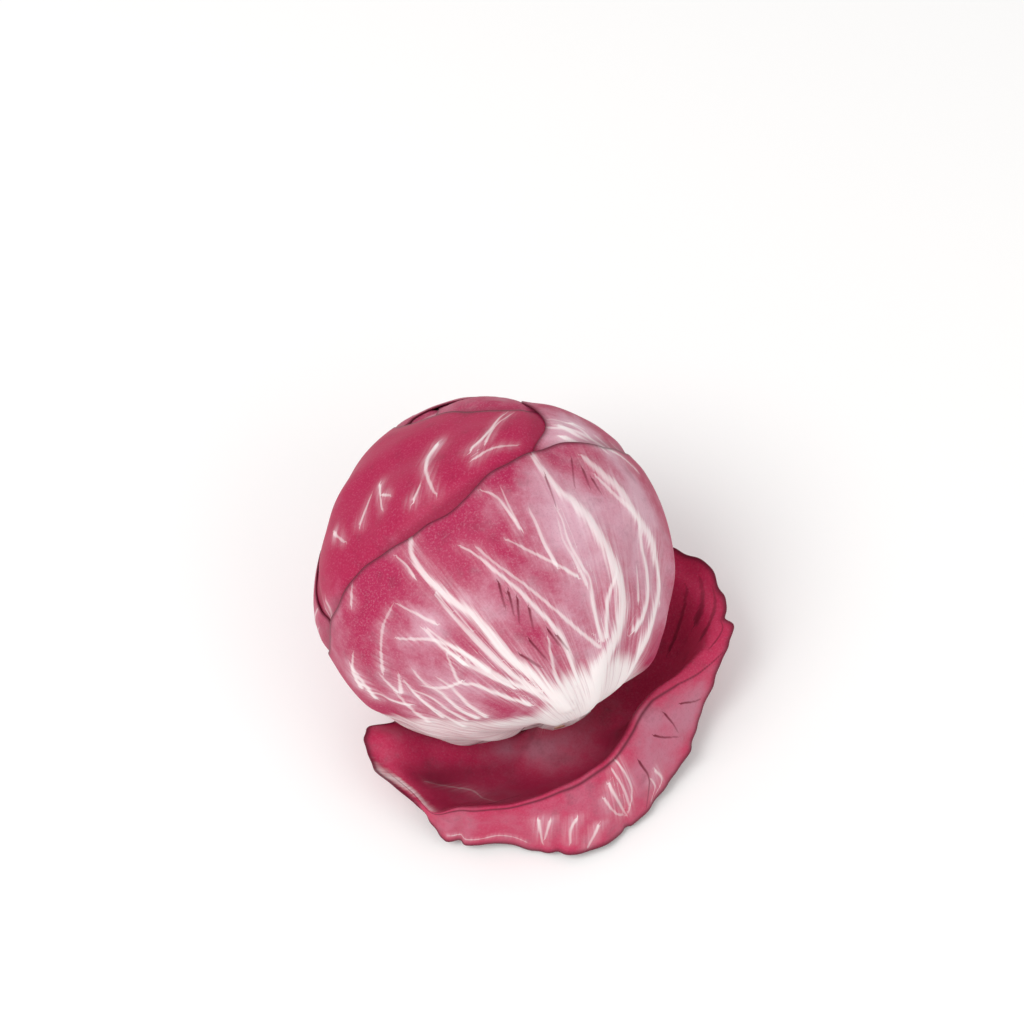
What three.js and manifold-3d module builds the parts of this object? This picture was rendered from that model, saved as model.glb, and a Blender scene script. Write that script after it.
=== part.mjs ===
// A round head of red radicchio lying on its side, with its outermost leaf opened onto the table.
// Units are millimetres and +Z is up. The origin is the middle of the flat spot that the head rests on.
import * as THREE from "three";
import { mergeVertices } from "three/addons/utils/BufferGeometryUtils.js";
import Module from "manifold-3d";

const wasm = await Module();
wasm.setup();

// Driving dimensions of the head
const REST_HEIGHT = 51.5; // the head's centre above the table
const STEM_HEADING = -52.4; // degrees in plan, from +X, that the cut stem points to
const STEM_DIP = 40.7; // degrees that the cut stem points below level
const HEART_RADIUS = 42.4;
const MAP_RADIUS = 51; // leaf lengths are measured on a ball of this radius
const HEART_BUMP = 0.8; // height of the slow, soft bumps that keep it from being a true ball
const BUTT_TAPER = 7; // the heart is this much narrower at the stem than at its widest
const BUTT_TAPER_ANGLE = 55; // degrees from the stem axis over which the taper fades

// Driving dimensions of a leaf
const BLADE = 1.2;
const MARGIN_BLADE = 0.9;
const STALK_THICKNESS = 3.0;
const STALK_HALF_WIDTH = 8.5;
const STALK_FADE = 26; // distance from a leaf's base over which its stalk thins to the blade
const BASE_ANGLE = 14.5; // degrees from the stem axis at which a leaf's base starts
const LEAF_GAP = 1.7; // air between one leaf and the next
const DRAPE_MARGIN = 15; // an outer leaf stays lifted this far past the edge of the leaf below
const DRAPE_FADE = 22; // and comes down to the next leaf over this distance
const RIB_HEIGHT = 1.7;
const RIB_HALF_WIDTH = 3.4;
const ROWS = [0, 0.05, 0.11, 0.18, 0.26, 0.35, 0.44, 0.53, 0.62, 0.71, 0.8, 0.9, 1];
const COLUMN_SPACING = 8.5; // degrees at most between columns where a leaf has no rib

// Ribs fan out from a leaf's base: [degrees at the base, degrees at the edge, degrees of bow, strength]
const FRONT_RIBS = [
  [-58, -56, 0, 0.6],
  [-42, -40, 0, 0.6],
  [-22, -33, 0, 0.7],
  [-13, -24, 0, 0.9],
  [-7, -15, 0, 1],
  [1, -6, 0, 0.7],
  [6, 8, 5, 0.6],
  [10, 14.5, 10, 1.2],
  [37, 25, 6, 1],
];
const PLAIN_RIBS = [
  [-48, -52, 0, 0.6],
  [-28, -36, 0, 0.8],
  [-10, -17, 0, 0.8],
  [0, 0, 3, 1.2],
  [12, 18, 0, 0.8],
  [29, 37, 0, 0.8],
  [50, 53, 0, 0.6],
];

// The wrapper leaves, from the outermost inwards. Azimuth 0 is the meridian over the head's top. Spread is
// degrees from the midrib to each side, and shoulder is the share of its length that a leaf loses there:
// [azimuth, length, spread, shoulder, waves, phase of the waves, ribs]
const WRAPPERS = [
  [-12, 104, 82, 0.2, 4, 5.6, FRONT_RIBS],
  [-170, 118, 58, 0.38, 8, 2.3, PLAIN_RIBS],
  [78, 113, 64, 0.38, 7, 4.1, PLAIN_RIBS],
  [-62, 150, 62, 0.38, 8, 5.2, PLAIN_RIBS],
  [158, 138, 62, 0.38, 9, 0.4, PLAIN_RIBS],
  [22, 146, 62, 0.38, 8, 3.6, PLAIN_RIBS],
];

// The inner leaves that are closed into the heart. Only their tips, at the crown, stand out of it.
const HEART_LEAVES = [
  [-98, 158, 50, 0.38, 6, 2.0, []],
  [124, 150, 52, 0.38, 7, 0.9, []],
  [-14, 152, 50, 0.38, 6, 5.5, []],
];
const HEART_LEAF_STEP = 1.3;
const HEART_LEAF_ROOT = 4; // depth that these leaves are sunk into the heart
const HEART_LEAF_PRESS = 6; // and how far their roots stay above its flattened underside
const HEART_DETAIL = 6;

// Driving dimensions of the cut stem
const STEM_RADIUS = 9;
const STEM_INNER_END = 39.5;
const STEM_OUTER_END = 54.5;
const STEM_SIDES = 24;

// Driving dimensions of the opened leaf. Its rays fan out from the stem, in plan, and each one runs along the
// table, climbs to a crest and turns over to the edge. Distances are in plan from the end of the stem:
// [heading in degrees, distance and height of the crest, distance and height of the edge]
const OPEN_RAYS = [
  [-186, 43, 5.5, 50, 8],
  [-179, 49, 10, 58, 14],
  [-172, 57, 18, 67.5, 23.5],
  [-164, 59, 16.5, 67, 20],
  [-153, 55, 12.5, 60.5, 15],
  [-142, 56, 16, 57.5, 9],
  [-134, 50.5, 22, 55.5, 3],
  [-120, 42, 24, 46, 3.5],
  [-102, 33, 25, 44, 2.5],
  [-80, 27, 26, 42, 2.5],
  [-55, 23.5, 27, 38.5, 3],
  [-32, 22, 28, 37.5, 5],
  [-12, 22.5, 29, 39.5, 8],
  [4, 27, 29.5, 44.5, 14],
  [15, 38, 30, 50, 24],
  [24, 48, 29, 58, 28.5],
  [34, 54, 27.5, 63.5, 30.5],
  [46, 57, 27, 65, 32],
  [60, 58, 27, 64, 33],
];
const OPEN_COLUMNS = 40;
const OPEN_ROWS = [0, 0.08, 0.17, 0.28, 0.4, 0.52, 0.62, 0.7, 0.77, 0.84, 0.92, 1];
const OPEN_STALK = 2.6;
const OPEN_BLADE = 1.3;
const OPEN_ROOT_HEIGHT = 51.2; // where its stalk meets the stem, from the head's centre
const OPEN_ROOT_RADIUS = 9.9;
const OPEN_ROOT_ARC = 46; // degrees to each side of the stem's lowest line

// Small vector helpers
const radians = THREE.MathUtils.degToRad;
const { smoothstep, lerp } = THREE.MathUtils;
const vector = (x, y, z) => new THREE.Vector3(x, y, z);
const combine = (...pairs) => {
  const sum = vector(0, 0, 0);
  for (const [v, scale] of pairs) sum.addScaledVector(v, scale);
  return sum;
};

// The head's own axes: the stem axis points out of the butt, and the other two are square to it
const CENTRE = vector(0, 0, REST_HEIGHT);
const STEM_AXIS = vector(
  Math.cos(radians(STEM_DIP)) * Math.cos(radians(STEM_HEADING)),
  Math.cos(radians(STEM_DIP)) * Math.sin(radians(STEM_HEADING)),
  -Math.sin(radians(STEM_DIP)),
);
const TOP_SIDE = combine([vector(0, 0, 1), 1], [STEM_AXIS, -STEM_AXIS.z]).normalize();
const FLANK_SIDE = TOP_SIDE.clone().cross(STEM_AXIS);

// Where a leaf lies on the head: its middle, the way to its tip and the way across it
function placeLeaf([degrees, length, spread, shoulder, waves, phase, ribs]) {
  const polar = radians(BASE_ANGLE) + length / 2 / MAP_RADIUS;
  const azimuth = radians(degrees);
  const outward = combine([TOP_SIDE, Math.cos(azimuth)], [FLANK_SIDE, Math.sin(azimuth)]);
  return {
    length,
    shoulder,
    waves,
    phase,
    ribs,
    spread: radians(spread),
    middle: combine([STEM_AXIS, Math.cos(polar)], [outward, Math.sin(polar)]),
    along: combine([STEM_AXIS, -Math.sin(polar)], [outward, Math.cos(polar)]),
    across: combine([TOP_SIDE, -Math.sin(azimuth)], [FLANK_SIDE, Math.cos(azimuth)]),
  };
}
const wrappers = WRAPPERS.map(placeLeaf);
const heartLeaves = HEART_LEAVES.map(placeLeaf);

// A point of the flat leaf, x across and y from its base, as a direction from the head's centre
function directionOf(leaf, x, y) {
  const forward = y - leaf.length / 2;
  const distance = Math.hypot(x, forward);
  if (distance < 1e-6) return leaf.middle.clone();
  const angle = distance / MAP_RADIUS;
  return combine(
    [leaf.middle, Math.cos(angle)],
    [leaf.across, (Math.sin(angle) * x) / distance],
    [leaf.along, (Math.sin(angle) * forward) / distance],
  );
}

// The same the other way round: angle from the midrib and distance from the leaf's base
function polarOnLeaf(leaf, direction) {
  const angle = direction.angleTo(leaf.middle);
  const a = direction.dot(leaf.across);
  const b = direction.dot(leaf.along);
  const scale = (angle * MAP_RADIUS) / Math.max(Math.hypot(a, b), 1e-9);
  const x = a * scale;
  const y = b * scale + leaf.length / 2;
  return { angle: Math.atan2(x, y), distance: Math.hypot(x, y) };
}

// Length of the leaf at an angle from its midrib, without its waves
function reach(leaf, angle) {
  const share = Math.abs(angle) / leaf.spread;
  const shoulder = share < 1 ? leaf.shoulder * share ** 4 : leaf.shoulder + 1.2 * (share - 1);
  return leaf.length * Math.max(1 - shoulder, 0);
}

// The waves of its edge
const waveOf = (leaf, angle) => Math.sin((leaf.waves * Math.PI * angle) / leaf.spread + leaf.phase);

// 1 where the leaf lies, fading to 0 past its edge
function cover(leaf, direction, margin = DRAPE_MARGIN, fade = DRAPE_FADE) {
  const { angle, distance } = polarOnLeaf(leaf, direction);
  const inward = Math.max(Math.abs(angle) - margin / Math.max(distance, margin), 0);
  return 1 - smoothstep(distance - reach(leaf, inward) - margin, 0, fade);
}

// Thickness without ribs: a thick stalk that thins to the blade
function thicknessAt(leaf, direction) {
  const { angle, distance } = polarOnLeaf(leaf, direction);
  const stalk = Math.exp(-((distance / STALK_FADE) ** 2)) * Math.cos(Math.min(Math.abs(angle), 1.4)) ** 2;
  return lerp(BLADE, STALK_THICKNESS, stalk);
}

// The heart without its leaves: a ball that narrows to the stem and has slow, soft bumps
function heartRadius(direction) {
  const fromStem = direction.angleTo(STEM_AXIS);
  const taper = BUTT_TAPER * (1 - smoothstep(fromStem, 0, radians(BUTT_TAPER_ANGLE)));
  const { x, y, z } = direction;
  const flank = Math.sin(3.1 * x + 1.3) * Math.cos(2.7 * y - 0.4);
  const crown = Math.sin(4.2 * z + 2.0 * x);
  return HEART_RADIUS - taper + HEART_BUMP * (flank + crown);
}

// The table presses the underside flat. Depth is how far under the outermost surface a point lies.
function pressed(radius, direction, depth) {
  if (direction.z >= 0) return radius;
  return Math.min(radius, (REST_HEIGHT - depth) / -direction.z);
}

const heartSurface = (direction) =>
  heartLeaves.reduce((sum, leaf) => sum + HEART_LEAF_STEP * cover(leaf, direction), heartRadius(direction));

// Radius under wrapper number k, which lies on the heart and on every wrapper inside it
function underside(k, direction) {
  return wrappers
    .slice(k + 1)
    .reduce(
      (sum, leaf) => sum + (thicknessAt(leaf, direction) + LEAF_GAP) * cover(leaf, direction),
      heartSurface(direction) + LEAF_GAP,
    );
}

// Thickness of everything that lies over wrapper number k
const depthOf = (k, direction) =>
  wrappers
    .slice(0, k)
    .reduce((sum, leaf) => sum + (thicknessAt(leaf, direction) + LEAF_GAP) * cover(leaf, direction), 0);

const hiddenBy = (k, direction) =>
  wrappers.slice(0, k).reduce((most, leaf) => Math.max(most, cover(leaf, direction)), 0);

// A closed solid from two sheets of points with the same rows and columns, outer and inner
function shellOf(outer, inner) {
  const rows = outer.length;
  const columns = outer[0].length;
  const positions = [...outer.flat(), ...inner.flat()].flatMap((p) => [p.x, p.y, p.z]);
  const top = (i, j) => i * columns + j;
  const under = (i, j) => (rows + i) * columns + j;
  const index = [];
  for (let i = 0; i + 1 < rows; i += 1) {
    for (let j = 0; j + 1 < columns; j += 1) {
      index.push(top(i, j), top(i, j + 1), top(i + 1, j + 1), top(i, j), top(i + 1, j + 1), top(i + 1, j));
      index.push(under(i, j), under(i + 1, j + 1), under(i, j + 1));
      index.push(under(i, j), under(i + 1, j), under(i + 1, j + 1));
    }
  }
  const rim = [];
  for (let j = 0; j < columns; j += 1) rim.push([0, j]);
  for (let i = 1; i < rows; i += 1) rim.push([i, columns - 1]);
  for (let j = columns - 2; j >= 0; j -= 1) rim.push([rows - 1, j]);
  for (let i = rows - 2; i > 0; i -= 1) rim.push([i, 0]);
  rim.forEach(([i, j], n) => {
    const [k, l] = rim[(n + 1) % rim.length];
    index.push(top(i, j), under(i, j), under(k, l), top(i, j), under(k, l), top(k, l));
  });
  const geometry = new THREE.BufferGeometry();
  geometry.setAttribute("position", new THREE.Float32BufferAttribute(positions, 3));
  geometry.setIndex(index);
  return geometry;
}

// The columns of a leaf at one row: each rib has a foot, a crest and a foot, and plain columns lie between.
// Plain columns crowd towards the leaf's sides, where its outline turns fastest.
function columnsAt(leaf, s) {
  const plain = (angle) => ({ angle, lift: 0 });
  const left = { angle: -leaf.spread, atEdge: -leaf.spread, foot: 0, side: true };
  const right = { angle: leaf.spread, atEdge: leaf.spread, foot: 0, side: true };
  const distance = Math.max(leaf.length * s, 1);
  let previous = left;
  const crests = leaf.ribs.map(([base, edge, bow, strength]) => {
    const angle = radians(lerp(base, edge, s) + bow * Math.sin(Math.PI * s));
    const room = 0.3 * (angle - previous.angle - previous.foot);
    const foot = Math.min((RIB_HALF_WIDTH * strength * (1.15 - s)) / distance, room, radians(3));
    previous = { angle, atEdge: radians(edge), foot, height: RIB_HEIGHT * strength * (1.12 - s) };
    return previous;
  });
  const columns = [plain(left.angle)];
  previous = left;
  for (const next of [...crests, right]) {
    const count = Math.ceil((next.atEdge - previous.atEdge) / radians(COLUMN_SPACING));
    const total = previous.side || next.side ? count + 1 : count;
    for (let n = 1; n < total; n += 1) {
      const even = n / total;
      const toLeft = previous.side ? 1 - Math.cos((even * Math.PI) / 2) : even;
      const share = next.side ? 1 - (1 - toLeft) ** 1.6 : toLeft;
      columns.push(plain(lerp(previous.angle + previous.foot, next.angle - next.foot, share)));
    }
    if (next !== right) {
      columns.push(plain(next.angle - next.foot));
      columns.push({ angle: next.angle, lift: next.height });
      columns.push(plain(next.angle + next.foot));
    }
    previous = next;
  }
  return [...columns, plain(right.angle)];
}

const evenColumns = (leaf) => columnsAt({ ...leaf, ribs: [] }, 1);

// A point of the leaf's plan, with its waved edge
function planPoint(leaf, angle, s) {
  const wave = 1 + 0.018 * waveOf(leaf, angle) * s ** 3;
  const distance = reach(leaf, angle) * s * wave;
  const sideways = (STALK_HALF_WIDTH * angle * (1 - s) ** 2) / leaf.spread;
  return { x: distance * Math.sin(angle) + sideways, y: distance * Math.cos(angle) };
}

function wrapperGeometry(k) {
  const leaf = wrappers[k];
  const outer = [];
  const inner = [];
  for (const s of ROWS) {
    const tops = [];
    const unders = [];
    for (const { angle, lift } of columnsAt(leaf, s)) {
      const { x, y } = planPoint(leaf, angle, s);
      const direction = directionOf(leaf, x, y);
      const open = 1 - hiddenBy(k, direction);
      const depth = depthOf(k, direction);
      const edge = smoothstep(s, 0.85, 1);
      const thickness = lerp(thicknessAt(leaf, direction), MARGIN_BLADE, edge);
      const flare = open * edge * (0.7 + 0.7 * waveOf(leaf, angle));
      const under = underside(k, direction) + flare;
      const rib = lift * open * (1 - edge * 0.6);
      const low = pressed(under, direction, depth + thickness);
      const high = pressed(under + thickness + rib, direction, depth);
      tops.push(combine([CENTRE, 1], [direction, high]));
      unders.push(combine([CENTRE, 1], [direction, low]));
    }
    outer.push(tops);
    inner.push(unders);
  }
  return shellOf(outer, inner);
}

// One leaf of the heart, with its root sunk well into the ball
function heartLeafGeometry(k) {
  const leaf = heartLeaves[k];
  const below = heartLeaves.slice(k + 1);
  const outer = [];
  const inner = [];
  for (const s of ROWS) {
    const tops = [];
    const unders = [];
    for (const { angle } of evenColumns(leaf)) {
      const { x, y } = planPoint(leaf, angle, s);
      const direction = directionOf(leaf, x, y);
      const stack = below.reduce((sum, other) => sum + HEART_LEAF_STEP * cover(other, direction), 0);
      const ball = heartRadius(direction);
      const depth = depthOf(wrappers.length, direction) + LEAF_GAP;
      tops.push(combine([CENTRE, 1], [direction, pressed(ball + stack + HEART_LEAF_STEP, direction, depth)]));
      unders.push(combine([CENTRE, 1], [direction, pressed(ball - HEART_LEAF_ROOT, direction, depth + HEART_LEAF_PRESS)]));
    }
    outer.push(tops);
    inner.push(unders);
  }
  return shellOf(outer, inner);
}

function solidOf(geometry) {
  const bare = geometry.clone();
  bare.deleteAttribute("normal");
  bare.deleteAttribute("uv");
  const merged = mergeVertices(bare, 1e-4);
  return new wasm.Manifold(
    new wasm.Mesh({
      numProp: 3,
      vertProperties: new Float32Array(merged.attributes.position.array),
      triVerts: new Uint32Array(merged.index.array),
    }),
  );
}

function geometryOf(solid) {
  const mesh = solid.getMesh();
  const geometry = new THREE.BufferGeometry();
  geometry.setAttribute("position", new THREE.BufferAttribute(mesh.vertProperties, 3));
  geometry.setIndex(new THREE.BufferAttribute(mesh.triVerts, 1));
  return geometry;
}

function heartGeometry() {
  const ball = new THREE.IcosahedronGeometry(1, HEART_DETAIL);
  const points = ball.attributes.position;
  for (let n = 0; n < points.count; n += 1) {
    const direction = new THREE.Vector3().fromBufferAttribute(points, n).normalize();
    const depth = depthOf(wrappers.length, direction) + LEAF_GAP;
    const radius = pressed(heartRadius(direction), direction, depth + HEART_LEAF_STEP);
    const point = combine([CENTRE, 1], [direction, radius]);
    points.setXYZ(n, point.x, point.y, point.z);
  }
  const leaves = HEART_LEAVES.map((_, k) => solidOf(heartLeafGeometry(k)));
  return geometryOf(leaves.reduce((sum, leaf) => sum.add(leaf), solidOf(ball)));
}

// The cut stem: a short plug with rounded shoulders, turned about the stem axis
function stemGeometry() {
  const profile = [
    [0, STEM_INNER_END],
    [STEM_RADIUS * 0.72, STEM_INNER_END],
    [STEM_RADIUS * 0.82, STEM_INNER_END + 3],
    [STEM_RADIUS, STEM_INNER_END + 9],
    [STEM_RADIUS, STEM_OUTER_END - 1.2],
    [STEM_RADIUS - 1.2, STEM_OUTER_END],
    [0, STEM_OUTER_END],
  ].map(([radius, height]) => new THREE.Vector2(radius, height));
  const geometry = new THREE.LatheGeometry(profile, STEM_SIDES);
  geometry.applyQuaternion(new THREE.Quaternion().setFromUnitVectors(vector(0, 1, 0), STEM_AXIS));
  geometry.translate(CENTRE.x, CENTRE.y, CENTRE.z);
  return geometry;
}

// The opened leaf: its upper face is a sheet of rays, and its lower face lies a blade's thickness under it
function openRay(share) {
  const place = share * (OPEN_RAYS.length - 1);
  const first = Math.min(Math.floor(place), OPEN_RAYS.length - 2);
  const soft = place - first;
  const [heading, crestAt, crestHeight, edgeAt, edgeHeight] = OPEN_RAYS[first].map((value, n) =>
    lerp(value, OPEN_RAYS[first + 1][n], soft),
  );
  const stemEnd = combine([CENTRE, 1], [STEM_AXIS, STEM_OUTER_END]);
  const course = vector(Math.cos(radians(heading)), Math.sin(radians(heading)), 0);
  const at = (distance, height) =>
    vector(stemEnd.x + course.x * distance, stemEnd.y + course.y * distance, height);
  const round = radians(lerp(-OPEN_ROOT_ARC, OPEN_ROOT_ARC, share));
  const root = combine(
    [CENTRE, 1],
    [STEM_AXIS, OPEN_ROOT_HEIGHT],
    [TOP_SIDE, -OPEN_ROOT_RADIUS * Math.cos(round)],
    [FLANK_SIDE, OPEN_ROOT_RADIUS * Math.sin(round)],
  );
  const valley = at(12 + 0.32 * (crestAt - 22), 2.0);
  const sole = root.clone().lerp(valley, 0.45).setZ(4.2);
  const wall = at(lerp(12 + 0.32 * (crestAt - 22), crestAt, 0.62), 1.5 + 0.42 * crestHeight);
  const wave = Math.sin(share * 41) + 0.6 * Math.sin(share * 67 + 1);
  const crest = at(crestAt, crestHeight);
  const brim = at(lerp(crestAt, edgeAt, 0.6), lerp(crestHeight, edgeHeight, 0.42));
  const edge = at(edgeAt + 0.7 * wave, Math.max(edgeHeight + 0.8 * wave, 1.5));
  return new THREE.CatmullRomCurve3([root, sole, valley, wall, crest, brim, edge], false, "centripetal");
}

function openLeafGeometry() {
  const rays = Array.from({ length: OPEN_COLUMNS }, (_, n) => openRay(1 - n / (OPEN_COLUMNS - 1)));
  const upper = OPEN_ROWS.map((s) => rays.map((ray) => ray.getPoint(s)));
  const lower = upper.map((row, i) =>
    row.map((point, j) => {
      const across = row[Math.min(j + 1, row.length - 1)].clone().sub(row[Math.max(j - 1, 0)]);
      const ahead = upper[Math.min(i + 1, upper.length - 1)][j].clone().sub(upper[Math.max(i - 1, 0)][j]);
      const normal = across.cross(ahead).normalize();
      const thickness = lerp(OPEN_STALK, OPEN_BLADE, smoothstep(OPEN_ROWS[i], 0.1, 0.5));
      const under = combine([point, 1], [normal, -thickness]);
      return under.setZ(Math.max(under.z, 0));
    }),
  );
  return shellOf(upper, lower);
}

// Finishes
const blade = new THREE.MeshStandardMaterial({ color: 0xa82a52, roughness: 0.45, metalness: 0 });
const paleStem = new THREE.MeshStandardMaterial({ color: 0xe9dccb, roughness: 0.6, metalness: 0 });

const head = new THREE.Group();
function addNode(name, geometry, material) {
  const mesh = new THREE.Mesh(geometry, material);
  mesh.name = name;
  head.add(mesh);
}

addNode("stem_butt", stemGeometry(), paleStem);
addNode("heart", heartGeometry(), blade);
wrappers.forEach((_, k) => addNode(`wrapper_leaf_${k + 1}`, wrapperGeometry(k), blade));
addNode("opened_leaf", openLeafGeometry(), blade);

export default head;
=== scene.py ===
"""A head of round red radicchio on its side, with its outermost leaf opened onto the table.

Lengths of the head are written in millimetres, as in the CAD source, and become metres in the meshes.
"""
import math

import bmesh
import bpy
import numpy as np
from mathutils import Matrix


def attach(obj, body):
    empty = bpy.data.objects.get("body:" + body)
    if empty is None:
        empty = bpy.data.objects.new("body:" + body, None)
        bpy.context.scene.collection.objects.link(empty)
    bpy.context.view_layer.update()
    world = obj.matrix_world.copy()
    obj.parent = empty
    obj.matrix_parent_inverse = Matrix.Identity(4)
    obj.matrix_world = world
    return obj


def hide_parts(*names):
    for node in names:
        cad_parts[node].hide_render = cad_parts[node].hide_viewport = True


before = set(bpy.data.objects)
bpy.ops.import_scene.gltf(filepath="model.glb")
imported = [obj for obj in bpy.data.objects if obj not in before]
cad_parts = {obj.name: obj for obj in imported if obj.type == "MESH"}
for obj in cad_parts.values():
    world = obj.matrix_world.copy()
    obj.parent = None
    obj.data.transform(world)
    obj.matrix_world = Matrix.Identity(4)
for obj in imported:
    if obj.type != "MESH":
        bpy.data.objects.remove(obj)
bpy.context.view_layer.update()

MM = 0.001

# The head's form, as in the CAD source
REST_HEIGHT = 51.5
STEM_HEADING, STEM_DIP = -52.4, 40.7
HEART_RADIUS, HEART_BUMP = 42.4, 0.8
MAP_RADIUS = 51.0
BUTT_TAPER, BUTT_TAPER_ANGLE = 7.0, 55.0
BLADE, STALK_THICKNESS = 1.2, 3.0
STALK_HALF_WIDTH, STALK_FADE = 8.5, 26.0
BASE_ANGLE = 14.5
LEAF_GAP = 1.7
DRAPE_MARGIN, DRAPE_FADE = 15.0, 22.0
FLANK_MARGIN = 9.0
HEART_LEAF_STEP = 1.3
STEM_RADIUS, STEM_INNER_END, STEM_OUTER_END = 9.0, 39.5, 54.5
OPEN_ROOT_HEIGHT, OPEN_ROOT_RADIUS, OPEN_ROOT_ARC = 51.2, 9.9, 46.0
OPEN_STALK = 2.6

# Finer than in the CAD source: the leaves are thinner and lie closer, each one inwards from the head's outline
BLADE_SHARE = 0.62
CLOSE_GAP = 0.15
CLOSE_MARGIN, CLOSE_FADE = 1.0, 4.0
RIM, MARGIN_WIDTH = 0.45, 7.0
RIB_HEIGHT = 1.3
# Depth of the edge's waves as a share of the leaf, and width of the dark line along it
EDGE_WAVE, EDGE_LINE = 0.018, 0.9
# Length that one unit of the fan UV map stands for, and a distance past everything
FAN_LENGTH, FAR = 100.0, 1e6

# Sizes in the leaf skins, in millimetres: the washes, the patches in them, and the cells, which are drawn
# several times as coarse as they are, or the render would not show them
WASH_SIZE, PATCH_SIZE, GRAIN_SIZE = 16.67, 6.67, 0.667
# Fibres run from the base to the margin: their width in degrees and their length in millimetres
FIBRE_WIDTH, FIBRE_LENGTH = 0.955, 25.0
# Blotches and pores of the cut stem, in millimetres; the pores are drawn coarser than they are
BLOTCH_SIZE, PORE_SIZE = 3.125, 1.11

# The opened leaf's rays: heading in degrees, distance and height of the crest, distance and height of the edge
OPEN_RAYS = np.array([
    [-186, 43, 5.5, 50, 8], [-179, 49, 10, 58, 14], [-172, 57, 18, 67.5, 23.5], [-164, 59, 16.5, 67, 20],
    [-153, 55, 12.5, 60.5, 15], [-142, 56, 16, 57.5, 9], [-134, 50.5, 22, 55.5, 3], [-120, 42, 24, 46, 3.5],
    [-102, 33, 25, 44, 2.5], [-80, 27, 26, 42, 2.5], [-55, 23.5, 27, 38.5, 3], [-32, 22, 28, 37.5, 5],
    [-12, 22.5, 29, 39.5, 8], [4, 27, 29.5, 44.5, 14], [15, 38, 30, 50, 24], [24, 48, 29, 58, 28.5],
    [34, 54, 27.5, 63.5, 30.5], [46, 57, 27, 65, 32], [60, 58, 27, 64, 33],
], float)

# Nicks in the opened leaf's edge: heading in degrees, depth, half width in degrees
NICKS = [(-133, 2.6, 1.6), (30, 2.4, 2.0), (-96, 1.2, 2.5), (-62, 1.0, 2.0)]

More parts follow.
